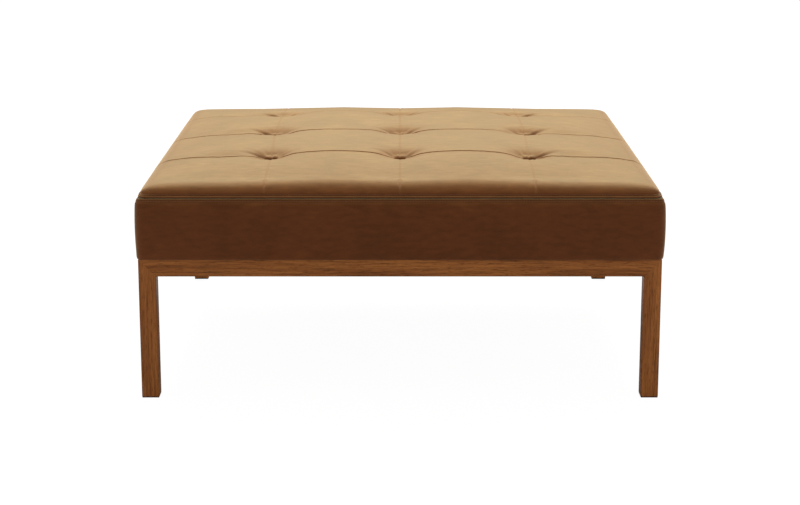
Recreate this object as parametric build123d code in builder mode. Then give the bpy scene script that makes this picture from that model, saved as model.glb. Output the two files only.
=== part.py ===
from build123d import *
from math import exp, log, sqrt
import os

# An ottoman coffee table: a tufted velvet top on a square frame of mitred walnut.
# Millimetres. X runs to the right, Y to the back and Z up, and the origin lies on the
# floor under the middle of the table. Every piece of a side or a corner is drawn once,
# for the front side or the front left corner, and turned about the table's upright axis.

# Walnut base
base_side = 1016.0              # outside of the square base
base_height = 279.4             # floor to the top of the rails
member_side = 34.0              # square section of the legs and rails
arris = 1.0                     # broken long edges
glide_thickness = 2.4           # plastic glide under each leg
glide_inset = 0.5               # how far the glide stands back from the leg's faces
glide_nail_diameter = 2.4
glide_nail_length = 16.0

# Mitre dowels and corner blocks of the base
dowel_diameter = 6.0
dowel_length = 18.0
block_leg = 100.0               # along each rail
block_tip = 12.0                # blunt ends of the triangle
block_recess = 2.0              # above the block, inside the rail's height
block_lift = 8.0                # below the block, so that the bolt heads stay hidden
block_screw_offset = 74.0       # from the inside corner, along the rail
block_screw_grip = 16.0         # wood of the block under the screw's head
block_screw_length = 34.0
screw_diameter = 4.6
screw_head_diameter = 9.0
screw_head_height = 2.8

# Seat frame of softwood
seat_recess = 13.0              # how far the frame, deck and foam stand inside the seam
seat_rail_width = 44.0
seat_rail_height = 66.0
cross_rail_width = 34.0
seat_block_leg = 80.0
seat_block_height = 40.0
frame_screw_sink = 4.0          # counterbore under the head's bearing face
frame_screw_length = 84.0
frame_screw_share = 0.28        # height of the two screws of a joint, from each edge

# Bolts that hold the seat on the base
bolt_offset = 36.0              # from the inside corner of the base, along both rails
bolt_diameter = 8.0
bolt_length = 46.0
bolt_head_width = 13.0          # across the flats
bolt_head_height = 5.3
washer_diameter = 20.0
washer_thickness = 1.6
insert_diameter = 12.0
insert_length = 20.0

# Deck of plywood
deck_thickness = 12.0
deck_hole_diameter = 7.0
deck_screw_length = 30.0
deck_screw_diameter = 4.0
deck_screw_head_diameter = 8.0
deck_screws_per_side = 3
deck_screw_spacing = 330.0

# Upholstery
cover_thickness = 2.4           # velvet and its backing
cushion_overhang = 3.0          # how far that seam, between boxing and top, passes the base
cushion_corner = 14.0           # plan radius of the upholstered corners
boxing_height = 117.6           # rail top to that seam
boxing_bulge = 3.6              # how far the boxing swells past the seam
boxing_top_tuck = 3.1           # how far it draws in under the seam
boxing_tuck = 1.7               # how far its lower edge turns in
seam_strip = 5.0                # flat stitched strip above the seam
strip_inset = 6.8               # how far the strip stands back from the seam
outer_panel_width = 241.0       # from the outer tufts to the seam
tufts_per_side = 3
tuft_height = 39.0              # bottom of a tuft over the seam
edge_rise = 22.0                # rise of the rolled edge over the strip
shoulder_run = 32.0             # plan width of the rolled edge
corner_blend = 8.0              # how softly two rolled edges meet at a corner
crown_rise = 35.5               # further rise of the crown in the middle
crown_power = 3.3               # how flat the crown is before it falls to the edge
seam_depth = 6.5                # how far a sewn line lies under the panels
dip_power = 1.2                 # how sharply the panels fall to a sewn line
arch_power = 2.8                # how sharply a sewn line falls to a tuft
dip_run = 60.0                  # distance from the edge over which the sewn lines deepen
cover_turnover = 29.0           # cover turned in under the seat frame
twine_diameter = 2.4
knot_diameter = 8.0
knot_height = 5.0
tuft_washer_diameter = 22.0
tuft_washer_thickness = 1.6
dust_cover_margin = 4.0         # inside the opening of the base
dust_cover_thickness = 0.8

# Fits
glue_gap = 0.1                  # round a dowel, screw or nail in its hole
hole_clearance = 0.3            # round a bolt, washer or twine
end_gap = 0.6                   # past the end of a dowel, screw or nail
soft_gap = 0.3                  # between curved soft faces
cut_overrun = 4.0               # how far a cutting shape passes a face

# Shares of a panel's length at which its outline is drawn
panel_shares = (0, 0.22, 0.5, 0.78, 1)
panel_arc_shares = (0, 0.22, 0.78, 1)
rolled_edge_shares = (0, 0.5, 0.82, 0.99)
roll_middle_share = 0.25        # middle of the roll's arc, from the edge

# Shares of the boxing's height, from its lower edge
boxing_shares = (0, 0.05, 0.27, 0.53, 0.76, 0.88, 1)
bulge_middle_share = 0.53       # where it swells most
bulge_reach_share = 0.62        # from there to where the swelling would end
boxing_top_tuck_share = 0.15
boxing_tuck_share = 0.05

half_side = base_side / 2
inside_half = half_side - member_side
cushion_side = base_side + 2 * cushion_overhang
cushion_half = cushion_side / 2
seat_side = cushion_side - 2 * seat_recess
seat_half = seat_side / 2
dust_cover_side = 2 * (inside_half - dust_cover_margin)
seat_bottom = base_height + cover_thickness
seat_frame_top = seat_bottom + seat_rail_height
deck_top = seat_frame_top + deck_thickness
seam_height = base_height + boxing_height
ledge_bottom = seam_height - cover_thickness
strip_half = cushion_half - strip_inset
roll_base = seam_height + seam_strip
tuft_level = seam_height + tuft_height
side_rail_middle = seat_half - seat_rail_width / 2
outer_seam = cushion_half - outer_panel_width
tuft_pitch = 2 * outer_seam / (tufts_per_side - 1)
seam_lines = [tuft_pitch * step - outer_seam for step in range(tufts_per_side)]
crown_top = roll_base + edge_rise + crown_rise
block_bottom = base_height - member_side + block_lift
block_top = base_height - block_recess

sides = {"front": 0, "right": 90, "back": 180, "left": 270}
corners = {"front_left": 0, "front_right": 90, "back_right": 180, "back_left": 270}
tuft_places = GridLocations(tuft_pitch, tuft_pitch, tufts_per_side, tufts_per_side)


# Planes of a side or a corner, turned about the upright axis
def plan_view(turn, height=0):
    return Plane.XY.offset(height).rotated((0, 0, turn))


def front_view(turn):
    plan = plan_view(turn)
    return Plane(origin=(0, 0, 0), x_dir=plan.x_dir, z_dir=-plan.y_dir)


def side_view(turn):
    plan = plan_view(turn)
    return Plane(origin=(0, 0, 0), x_dir=plan.y_dir, z_dir=plan.x_dir)


# Centres and axes of the three dowels of a corner, each square to one mitre
def mitre_planes(turn):
    plan = plan_view(turn)
    near = member_side / 3 - half_side
    far = member_side * 2 / 3 - half_side
    low = base_height - member_side * 2 / 3
    high = base_height - member_side / 3
    up = Vector(0, 0, 1)
    return {
        "x_leg": Plane(plan.from_local_coords((far, near, low)), z_dir=plan.x_dir + up),
        "y_leg": Plane(plan.from_local_coords((near, far, low)), z_dir=plan.y_dir + up),
        "rails": Plane(plan.from_local_coords((far, far, high)), z_dir=plan.x_dir - plan.y_dir),
    }


# A round bore along a plane's normal, from "below" to "above" its origin
def bore(planes, diameter, below, above=0):
    with Locations(*planes):
        Cylinder(diameter / 2, below, align=(Align.CENTER, Align.CENTER, Align.MAX), mode=Mode.SUBTRACT)
        if above:
            Cylinder(diameter / 2, above, align=(Align.CENTER, Align.CENTER, Align.MIN), mode=Mode.SUBTRACT)


# Blind holes for the dowels in the members of a mitre
def dowel_holes(planes):
    reach = dowel_length / 2 + end_gap
    bore(planes, dowel_diameter + 2 * glue_gap, reach, reach)


# Screws whose heads bear on a plane and whose shanks run down its normal
def screws(planes, length):
    with BuildPart() as group:
        with Locations(*planes):
            Cylinder(screw_head_diameter / 2, screw_head_height,
                     align=(Align.CENTER, Align.CENTER, Align.MIN))
            Cylinder(screw_diameter / 2, length, align=(Align.CENTER, Align.CENTER, Align.MAX))
    return group.part


def screw_holes(planes, length):
    bore(planes, screw_diameter + 2 * glue_gap, length + end_gap)
    with Locations(*planes):
        Cylinder(screw_head_diameter / 2 + hole_clearance, block_leg,
                 align=(Align.CENTER, Align.CENTER, Align.MIN), mode=Mode.SUBTRACT)


def keep(part, name):
    part.label = name
    export_step(part, f"parts/{name}.step")


os.makedirs("parts", exist_ok=True)


# Screws of a base corner block: bearing faces inside the block, shanks into both rails
def block_screw_planes(turn):
    plan = plan_view(turn)
    along = block_screw_offset - inside_half
    across = block_screw_grip - inside_half
    middle = (block_bottom + block_top) / 2
    return {
        "x_rail": Plane(plan.from_local_coords((along, across, middle)), z_dir=plan.y_dir),
        "y_rail": Plane(plan.from_local_coords((across, along, middle)), z_dir=plan.x_dir),
    }


# Legs: square posts whose tops are cut to the two mitres that meet the rails
leg_profile = [
    (-half_side, glide_thickness),
    (-half_side, base_height),
    (-inside_half, base_height - member_side),
    (-inside_half, glide_thickness),
]
for corner, turn in corners.items():
    plan = plan_view(turn, glide_thickness)
    post_middle = (half_side + inside_half) / 2
    with BuildPart() as leg:
        with BuildSketch(plan):
            with Locations((-post_middle, -post_middle)):
                Rectangle(member_side, member_side)
        extrude(amount=base_height - glide_thickness)
        with BuildSketch(front_view(turn)):
            Polygon(*leg_profile, align=None)
        extrude(amount=half_side, mode=Mode.INTERSECT)
        with BuildSketch(side_view(turn)):
            Polygon(*leg_profile, align=None)
        extrude(amount=-half_side, mode=Mode.INTERSECT)
        chamfer(leg.edges().filter_by(Axis.Z), arris)
        mitres = mitre_planes(turn)
        dowel_holes([mitres["x_leg"], mitres["y_leg"]])
        foot = Plane(plan.from_local_coords((-post_middle, -post_middle, 0)))
        bore([foot], glide_nail_diameter + 2 * glue_gap, cut_overrun, glide_nail_length + end_gap)
    keep(leg.part, f"leg_{corner}")

    with BuildPart() as glide:
        with BuildSketch(plan_view(turn)):
            with Locations((-post_middle, -post_middle)):
                Rectangle(member_side - 2 * glide_inset, member_side - 2 * glide_inset)
        extrude(amount=glide_thickness)
        chamfer(glide.edges().group_by(Axis.Z)[0], glide_inset)
        with Locations(foot):
            Cylinder(glide_nail_diameter / 2, glide_nail_length,
                     align=(Align.CENTER, Align.CENTER, Align.MIN))
    keep(glide.part, f"glide_{corner}")


# Rails: long mitres in plan, where two rails meet, and in elevation, where a leg meets them
for side, turn in sides.items():
    axis_along = Axis((0, 0, 0), plan_view(turn).x_dir)
    with BuildPart() as rail:
        with BuildSketch(plan_view(turn, base_height - member_side)):
            Polygon((-half_side, -half_side), (half_side, -half_side),
                    (inside_half, -inside_half), (-inside_half, -inside_half), align=None)
        extrude(amount=member_side)
        with BuildSketch(front_view(turn)):
            Polygon((-half_side, base_height), (half_side, base_height),
                    (inside_half, base_height - member_side),
                    (-inside_half, base_height - member_side), align=None)
        extrude(amount=half_side, mode=Mode.INTERSECT)
        chamfer(rail.edges().filter_by(axis_along), arris)
        start, end = mitre_planes(turn), mitre_planes(turn + sides["right"])
        dowel_holes([start["x_leg"], start["rails"], end["y_leg"], end["rails"]])
        screw_holes([block_screw_planes(turn)["x_rail"],
                     block_screw_planes(turn + sides["right"])["y_rail"]], block_screw_length)
    keep(rail.part, f"rail_{side}")


# Dowels across the mitres
with BuildPart() as mitre_dowels:
    for turn in corners.values():
        with Locations(*mitre_planes(turn).values()):
            Cylinder(dowel_diameter / 2, dowel_length)
keep(mitre_dowels.part, "mitre_dowels")


# Corner blocks of the base, with the screws into the rails and the hole for the seat bolt
def bolt_point(turn, height):
    place = bolt_offset - inside_half
    return Plane(plan_view(turn, height).from_local_coords((place, place, 0)))


def corner_triangle(turn, height, inner, leg, tip):
    with BuildSketch(plan_view(turn, height)) as triangle:
        Polygon((-inner, -inner), (leg - inner, -inner), (leg - inner, tip - inner),
                (tip - inner, leg - inner), (-inner, leg - inner), align=None)
    return triangle.sketch


for corner, turn in corners.items():
    with BuildPart() as block:
        extrude(corner_triangle(turn, block_bottom, inside_half, block_leg, block_tip),
                amount=block_top - block_bottom)
        screw_holes(block_screw_planes(turn).values(), block_screw_length)
        bore([bolt_point(turn, block_top)], bolt_diameter + 2 * hole_clearance,
             member_side, cut_overrun)
    keep(block.part, f"corner_block_{corner}")

block_planes = [plane for turn in corners.values() for plane in block_screw_planes(turn).values()]
keep(screws(block_planes, block_screw_length), "corner_block_screws")


# Screws of the deck, evenly along the middle of each seat rail
def deck_screw_planes():
    planes = []
    for turn in sides.values():
        plan = plan_view(turn, deck_top)
        for step in range(deck_screws_per_side):
            along = (step - (deck_screws_per_side - 1) / 2) * deck_screw_spacing
            planes.append(Plane(plan.from_local_coords((along, -side_rail_middle, 0))))
    return planes


# Countersunk screw or its hole: a cone under the surface and a straight shank
def countersunk(planes, gap, deeper, mode):
    head = deck_screw_head_diameter / 2 + gap
    shank = deck_screw_diameter / 2 + gap
    with Locations(*planes):
        Cone(shank, head, head - shank, align=(Align.CENTER, Align.CENTER, Align.MAX), mode=mode)
        Cylinder(shank, deck_screw_length + deeper,
                 align=(Align.CENTER, Align.CENTER, Align.MAX), mode=mode)


# Seat frame: front and back rails run through, side and cross rails butt between them
def joint_planes(turn, along):
    plan = plan_view(turn, seat_bottom)
    face = frame_screw_sink - seat_half
    heights = [seat_rail_height * frame_screw_share, seat_rail_height * (1 - frame_screw_share)]
    return [Plane(plan.from_local_coords((along, face, height)), z_dir=-plan.y_dir)
            for height in heights]


cross_rail_place = tuft_pitch / 2
cross_rail_length = seat_side - 2 * seat_rail_width
joints_along = (-side_rail_middle, -cross_rail_place, cross_rail_place, side_rail_middle)
frame_screw_planes = [plane for turn in (sides["front"], sides["back"])
                      for along in joints_along for plane in joint_planes(turn, along)]

for side in ("front", "back"):
    with BuildPart() as seat_rail:
        with BuildSketch(plan_view(sides[side], seat_bottom)):
            with Locations((0, -side_rail_middle)):
                Rectangle(seat_side, seat_rail_width)
        extrude(amount=seat_rail_height)
        screw_holes(frame_screw_planes, frame_screw_length)
        countersunk(deck_screw_planes(), glue_gap, end_gap, Mode.SUBTRACT)
    keep(seat_rail.part, f"seat_rail_{side}")

for name, place, width in (
    ("seat_rail_left", -side_rail_middle, seat_rail_width),
    ("seat_rail_right", side_rail_middle, seat_rail_width),
    ("cross_rail_left", -cross_rail_place, cross_rail_width),
    ("cross_rail_right", cross_rail_place, cross_rail_width),
):
    with BuildPart() as seat_rail:
        with BuildSketch(Plane.XY.offset(seat_bottom)):
            with Locations((place, 0)):
                Rectangle(width, cross_rail_length)
        extrude(amount=seat_rail_height)
        bore(frame_screw_planes, screw_diameter + 2 * glue_gap, frame_screw_length + end_gap)
        countersunk(deck_screw_planes(), glue_gap, end_gap, Mode.SUBTRACT)
    keep(seat_rail.part, name)

keep(screws(frame_screw_planes, frame_screw_length), "seat_frame_screws")


# Corner blocks of the seat frame, the inserts in them, and the bolts from below
seat_inner_half = seat_half - seat_rail_width
for corner, turn in corners.items():
    with BuildPart() as seat_block:
        extrude(corner_triangle(turn, seat_bottom, seat_inner_half, seat_block_leg, block_tip),
                amount=seat_block_height)
        bore([bolt_point(turn, seat_bottom)], insert_diameter + 2 * glue_gap,
             cut_overrun, insert_length + end_gap)
    keep(seat_block.part, f"seat_block_{corner}")

with BuildPart() as inserts:
    for turn in corners.values():
        with BuildSketch(bolt_point(turn, seat_bottom)):
            Circle(insert_diameter / 2)
            Circle(bolt_diameter / 2 + glue_gap, mode=Mode.SUBTRACT)
        extrude(amount=insert_length)
keep(inserts.part, "threaded_inserts")

with BuildPart() as washers:
    for turn in corners.values():
        with BuildSketch(bolt_point(turn, block_bottom)):
            Circle(washer_diameter / 2)
            Circle(bolt_diameter / 2 + hole_clearance, mode=Mode.SUBTRACT)
        extrude(amount=-washer_thickness)
keep(washers.part, "seat_bolt_washers")

with BuildPart() as bolts:
    for turn in corners.values():
        under_washer = bolt_point(turn, block_bottom - washer_thickness)
        with BuildSketch(under_washer):
            RegularPolygon(bolt_head_width / 2, side_count=6, major_radius=False)
        extrude(amount=-bolt_head_height)
        with BuildSketch(under_washer):
            Circle(bolt_diameter / 2)
        extrude(amount=bolt_length)
keep(bolts.part, "seat_bolts")


# Deck: plywood on the seat frame, drilled for the tufts and screwed down round its edge
with BuildPart() as deck:
    with BuildSketch(Plane.XY.offset(seat_frame_top)):
        Rectangle(seat_side, seat_side)
        with tuft_places:
            Circle(deck_hole_diameter / 2, mode=Mode.SUBTRACT)
    extrude(amount=deck_thickness)
    countersunk(deck_screw_planes(), glue_gap, end_gap, Mode.SUBTRACT)
keep(deck.part, "deck")

with BuildPart() as deck_screws:
    countersunk(deck_screw_planes(), 0, 0, Mode.ADD)
keep(deck_screws.part, "deck_screws")


# Distance in from the rolled edge, softened where two edges meet at a corner
def edge_distance(across, depth, half):
    nearness = exp((abs(across) - half) / corner_blend) + exp((abs(depth) - half) / corner_blend)
    return max(0, -corner_blend * log(nearness))


# How strongly the sewn lines draw the cover down: 1 on a line, 0 between two lines
def seam_pull(place, half, power):
    if abs(place) > outer_seam:
        return max(0, (half - abs(place)) / (half - outer_seam)) ** power
    to_line = abs((place / tuft_pitch + 0.5) % 1 - 0.5)
    return (1 - 2 * to_line) ** power


# Height of the crown: the rolled edge, the dome, the dips along the sewn lines and the tufts
def crown_height(across, depth, inset):
    half = strip_half - inset
    inward = edge_distance(across, depth, half)
    roll = edge_rise * sqrt(1 - (1 - min(1, inward / shoulder_run)) ** 2)
    dome = (1 - abs(across / half) ** crown_power) * (1 - abs(depth / half) ** crown_power)
    sewn = 1 - (1 - seam_pull(across, half, dip_power)) * (1 - seam_pull(depth, half, dip_power))
    free = min(1, inward / dip_run)
    height = roll_base + roll + crown_rise * dome - seam_depth * sewn * free
    tufted = seam_pull(across, half, arch_power) * seam_pull(depth, half, arch_power) * free
    return height + (tuft_level - height) * tufted - inset


# Outline across the cushion at one depth: walls, rolled edges and three arcs for each panel
def crown_outline(depth, inset, bottom):
    half = strip_half - inset
    shoulder = half - shoulder_run
    edge_height = roll_base - inset
    lines = [-shoulder, *seam_lines, shoulder]
    knots = [left + (right - left) * share for left, right in zip(lines, lines[1:])
             for share in panel_arc_shares[:-1]] + [shoulder]
    roll_middle = half - shoulder_run * roll_middle_share

    def on_crown(across):
        return (across, crown_height(across, depth, inset))

    with BuildSketch(Plane.XZ.offset(-depth)) as outline:
        with BuildLine():
            Polyline((-half, edge_height), (-half, bottom), (half, bottom), (half, edge_height))
            ThreePointArc((-half, edge_height), on_crown(-roll_middle), on_crown(-shoulder))
            for left, right in zip(knots, knots[1:]):
                ThreePointArc(on_crown(left), on_crown((left + right) / 2), on_crown(right))
            ThreePointArc(on_crown(shoulder), on_crown(roll_middle), (half, edge_height))
        make_face()
    return outline.sketch


# Depths of the outlines from one sewn line, or one end, to the next
def row_depths(start, end, shares):
    return [start + (end - start) * share for share in shares]


# The whole crown, a loft for each row of panels and each rolled edge, so that the sewn
# lines between them stay sharp
def crown(inset, bottom):
    half = strip_half - inset
    shoulder = half - shoulder_run
    rows = [row_depths(near, far, panel_shares) for near, far in zip(seam_lines, seam_lines[1:])]
    for side in (-1, 1):
        rows.append(row_depths(side * outer_seam, side * shoulder, panel_shares))
        rows.append(row_depths(side * shoulder, side * half, rolled_edge_shares))
    with BuildPart() as body:
        for row in rows:
            loft([crown_outline(depth, inset, bottom) for depth in row])
        with BuildSketch(Plane.XY.offset(bottom)):
            RectangleRounded(2 * half, 2 * half, cushion_corner - inset)
        extrude(amount=crown_top - bottom, mode=Mode.INTERSECT)
    return body.part


# How far the boxing stands past the seam at a share of its height
def boxing_swell(share):
    bulge = boxing_bulge * (1 - ((share - bulge_middle_share) / bulge_reach_share) ** 2)
    drawn_in = max(0, 1 - (1 - share) / boxing_top_tuck_share) ** 2
    turned_in = max(0, 1 - share / boxing_tuck_share) ** 2
    return bulge - boxing_top_tuck * drawn_in - boxing_tuck * turned_in


# The boxing's swelling side, as a solid between two levels
def boxing_body(inset, bottom, top):
    with BuildPart() as body:
        for share in boxing_shares:
            half = cushion_half + boxing_swell(share) - inset
            with BuildSketch(Plane.XY.offset(bottom + (top - bottom) * share)):
                RectangleRounded(2 * half, 2 * half, cushion_corner - inset)
        loft()
    return body.part


foam_inset = cover_thickness + soft_gap
with BuildPart() as top_cover:
    add(crown(0, seam_height))
    add(crown(cover_thickness, seam_height - cut_overrun), mode=Mode.SUBTRACT)
keep(top_cover.part, "top_cover")

# The boxing is turned in under the seat frame and, as a ledge, under the strip of the top
with BuildPart() as boxing_cover:
    add(boxing_body(0, base_height, seam_height))
    add(boxing_body(cover_thickness, seat_bottom, ledge_bottom), mode=Mode.SUBTRACT)
    with BuildSketch(Plane.XY.offset(ledge_bottom)):
        Rectangle(seat_side + 2 * soft_gap, seat_side + 2 * soft_gap)
    extrude(amount=cover_thickness + cut_overrun, mode=Mode.SUBTRACT)
    with BuildSketch(Plane.XY.offset(base_height - cut_overrun)):
        flap_half = half_side - cover_turnover
        Rectangle(2 * flap_half, 2 * flap_half)
    extrude(amount=2 * cut_overrun, mode=Mode.SUBTRACT)
keep(boxing_cover.part, "boxing_cover")

with BuildPart() as side_wadding:
    add(boxing_body(foam_inset, seat_bottom, ledge_bottom))
    with BuildSketch(Plane.XY.offset(seat_bottom)):
        Rectangle(seat_side, seat_side)
    extrude(amount=boxing_height, mode=Mode.SUBTRACT)
keep(side_wadding.part, "side_wadding")

with BuildPart() as foam_core:
    with BuildSketch(Plane.XY.offset(deck_top)):
        Rectangle(seat_side, seat_side)
    extrude(amount=seam_height - deck_top)
    add(crown(foam_inset, seam_height))
    with BuildSketch(Plane.XY.offset(deck_top)):
        with tuft_places:
            Circle(twine_diameter / 2 + hole_clearance)
    extrude(amount=crown_top - deck_top, mode=Mode.SUBTRACT)
keep(foam_core.part, "foam_core")


# Tufting twines from the underside of the cover down to knots under the deck
washer_level = seat_frame_top - tuft_washer_thickness
with BuildPart() as twines:
    with BuildSketch(Plane.XY.offset(washer_level)):
        with tuft_places:
            Circle(twine_diameter / 2)
    extrude(amount=tuft_level - foam_inset - washer_level)
    with BuildSketch(Plane.XY.offset(washer_level)):
        with tuft_places:
            Circle(knot_diameter / 2)
    extrude(amount=-knot_height)
keep(twines.part, "tufting_twines")

with BuildPart() as tuft_washers:
    with BuildSketch(Plane.XY.offset(washer_level)):
        with tuft_places:
            Circle(tuft_washer_diameter / 2)
            Circle(twine_diameter / 2 + hole_clearance, mode=Mode.SUBTRACT)
    extrude(amount=tuft_washer_thickness)
keep(tuft_washers.part, "tuft_washers")


# Dust cover under the seat frame, with holes that the bolts pass
with BuildPart() as dust_cover:
    with BuildSketch(Plane.XY.offset(seat_bottom)):
        Rectangle(dust_cover_side, dust_cover_side)
        with Locations(*[bolt_point(turn, 0).origin for turn in corners.values()]):
            Circle(insert_diameter / 2, mode=Mode.SUBTRACT)
    extrude(amount=-dust_cover_thickness)
keep(dust_cover.part, "dust_cover")
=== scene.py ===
import math
import random

import bpy
import numpy as np
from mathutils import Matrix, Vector


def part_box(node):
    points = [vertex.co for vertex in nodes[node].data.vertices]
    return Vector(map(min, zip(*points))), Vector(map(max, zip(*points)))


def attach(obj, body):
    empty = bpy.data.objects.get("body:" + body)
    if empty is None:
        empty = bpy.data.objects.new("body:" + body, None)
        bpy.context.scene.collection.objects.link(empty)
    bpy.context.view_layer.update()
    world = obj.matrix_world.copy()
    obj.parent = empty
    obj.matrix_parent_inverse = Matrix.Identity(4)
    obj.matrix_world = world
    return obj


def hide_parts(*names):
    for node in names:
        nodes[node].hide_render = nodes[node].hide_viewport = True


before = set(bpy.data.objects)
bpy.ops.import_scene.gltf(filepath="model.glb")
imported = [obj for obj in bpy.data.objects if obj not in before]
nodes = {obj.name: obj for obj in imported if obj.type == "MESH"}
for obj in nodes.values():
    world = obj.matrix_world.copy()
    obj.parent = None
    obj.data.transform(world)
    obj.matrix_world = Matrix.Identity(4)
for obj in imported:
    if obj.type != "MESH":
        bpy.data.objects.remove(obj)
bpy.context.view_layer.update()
mm = 0.001
print("frame loaded,", len(nodes), "nodes")


# Small helpers

def hexToLinear(code):
    channels = [int(code[i:i + 2], 16) / 255 for i in (1, 3, 5)]
    return [c / 12.92 if c <= 0.04045 else ((c + 0.055) / 1.055) ** 2.4 for c in channels] + [1.0]


# The inputs are a dictionary by socket, or a list in the order of the sockets
def setInputs(tree, node, inputs):
    pairs = inputs.items() if isinstance(inputs, dict) else enumerate(inputs)
    for name, value in pairs:
        if isinstance(value, bpy.types.NodeSocket):
            tree.links.new(value, node.inputs[name])
        else:
            node.inputs[name].default_value = value


def addNode(tree, kind, settings={}, inputs={}):
    node = tree.nodes.new(kind)
    for name, value in settings.items():
        setattr(node, name, value)
    setInputs(tree, node, inputs)
    return node


def newMaterial(name):
    material = bpy.data.materials.new(name)
    material.use_nodes = True
    tree = material.node_tree
    return material, tree, tree.nodes["Principled BSDF"]


def newPiece(name, points, faces, smooth=True):
    mesh = bpy.data.meshes.new(name)
    mesh.from_pydata([tuple(p) for p in points], [], [tuple(f) for f in faces])
    mesh.validate()
    mesh.update()
    if smooth:
        mesh.polygons.foreach_set("use_smooth", [True] * len(mesh.polygons))
    piece = bpy.data.objects.new(name, mesh)
    bpy.context.scene.collection.objects.link(piece)
    return piece


# Keeps with a velvet piece its painted shade at each point, from 0 to 1: shade painted into its pits, folds
# and creases
def storePaintedShade(piece, shade):
    piece.data.attributes.new("paintedShade", "FLOAT", "POINT").data.foreach_set("value", shade)


# Sizes read from the frame, in mm

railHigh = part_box("rail_front")[1]
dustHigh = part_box("dust_cover")[1]
twineLow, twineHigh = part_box("tufting_twines")

cushionOverhang = 3.0         # the cushion's seam stands out past the base
knotHalf = 4.0                # a knot stands out past its twine
seamHalf = railHigh.x / mm + cushionOverhang
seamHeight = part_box("top_cover")[0].z / mm
railTop = railHigh.z / mm
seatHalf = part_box("deck")[1].x / mm
tuftPitch = twineHigh.x / mm - knotHalf
tuftLines = (-tuftPitch, 0.0, tuftPitch)
phaseRange = 6.3              # of random waves: just over a full turn


# Velvet top cover

cushionTop = {
    # the crown, mm
    "rollInset": 6.8,         # foot of the rolled edge inside the boxing's seam
    "rollFoot": 8.2,          # its height over that seam
    "rollRise": 19.1,         # the rolled edge, a quarter ellipse
    "rollRun": 32.0,
    "crownRise": 32.4,        # further rise to the middle
    "crownPower": (4.6, 3.0),     # how flat it is on top, left to right and front to back
    "frontFill": 1.2,         # the front edge is filled a little fuller than the back one
    "fillPower": (6, 3),      # how this fades to the sides and to the middle
    "cornerBlend": 8.0,       # how softly two rolled edges meet at a corner
    "cornerSink": 1.5,        # the corner panels lie flatter than the others
    "cornerReach": 60.0,      # and come to it this far past the outer sewn lines
    "cornerStart": 20.0,      # and this far from the edge
    "seamDip": (4.2, 4.6),    # broad dips along the front-to-back lines and the middle left-right one
    "outerDip": 6.0,          # the left-right lines hang lower between the outer tufts and the edge
    "outerDipPlace": 354.0,
    "outerDipSize": (58.0, 32.0),
    "dipPower": 1.2,
    "dipStart": 60.0,         # the dips fade out this near to the edge
    "tuftHeight": 44.4,       # tufts over the seam, before their hollow
    "arch": 2.8,              # how sharply a seam rises away from a tuft
    "planCorner": 14.0,       # radius of the corners, seen from the top
    "drawIn": 8.0,            # the outer front-to-back lines lie this much further in at the front
    # the sewn lines, front to back and left to right
    "lineDepth": (0.42, 2.9),
    "lineWidth": (1.2, 1.7),
    "lineWall": 1.6,          # how steep their sides are
    "lip": (0.1, 0.7),        # puffed lips beside them
    "lipPlace": 4.4,
    "lipWidth": 2.4,
    "gather": 0.7,            # share by which they deepen near a tuft
    "gatherReach": 24.0,
    "rollPull": (3.4, 1.6),   # of the front-to-back lines on the front and the back roll
    "rollPullReach": 40.0,
    "rollPullWidth": 3.0,
    "backShare": 0.2,         # the back line is sewn less tight
    "sideFade": 42.0,         # the left-right lines fade out on the rolled edge
    "sideFadePower": 1.3,
    "ripples": 5,             # waves along the lines
    "rippleDepth": 0.125,
    "rippleLength": (14, 34),
    "rippleReach": 9.0,       # they fade out this far from the line, and this near to it
    "rippleStart": 2.5,
    "lineShade": 0.6,         # painted shade in a line near a tuft
    "edgeFade": 14.0,         # lines and tufts fade out this near to the edge
    # the tufts
    "pitDepth": 15.0,         # their dark core
    "pitRadius": (10.5, 7.5),
    "pitWall": 3.0,
    "pitShade": (1.1, 4),     # painted shade to this share of its radius, and how suddenly it ends
    "rimRise": 1.6,           # puffed rim round it
    "rimRadius": 16.0,
    "rimWidth": 6.0,
    "hollowDepth": 9.5,       # broad hollow round it
    "hollowRadius": 33.0,
    "pleats": 13,             # small gathers round each tuft
    "pleatWander": 0.35,      # how unevenly they are set, as a share of their spacing
    "pleatReach": (10, 26),
    "pleatStrength": (0.4, 1.2),
    "pleatDepth": 0.85,
    "pleatWidth": 1.6,
    "pleatSpread": 0.07,      # a gather widens by this share of its length
    "foldDepth": 5.5,         # deeper folds that run out to the sides of the cushion
    "foldReach": 15.0,
    "foldWidth": 3.4,
    "foldTurn": 33.0,         # degrees from the left-right line
    "foldWander": 6.0,
    "foldShare": {"outward": 1, "middle": 0.45, "inward": 0.3},
    "frontFoldShare": 0.3,    # the folds on the front side of a tuft
    # painted shade in the folds
    "foldShade": 0.6,
    # the mesh
    "besideLine": (0, 0.7, 1.4, 2.2, 3.2, 4.6, 6.6, 9),       # rows of points, mm from a sewn line
    "aroundTuft": 2.1,        # their spacing further out
    "aroundTuftRows": 18,
    "besideEdge": (0, 0.12, 0.5, 1.1, 2.0, 3.1, 4.5, 6.2, 8.2, 10.6, 13.5, 17, 21, 26, 32),
    "widest": 6.0,            # wider gaps are filled
    "filling": 5.0,
    # lip under the roll, and the hidden underside: outward of the roll's foot, height over the seam
    "lipProfile": [(-0.5, 7.9), (-0.6, 7.5), (0.9, 7.2), (2.2, 6.6), (2.9, 5.8), (3.0, 4.9),
                   (2.7, 4.2), (2.0, 3.6), (0.4, 3.2), (-3.0, 3.1), (-7.0, 3.1)],
    "seed": 11,
}
footHalf = seamHalf - cushionTop["rollInset"]


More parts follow.
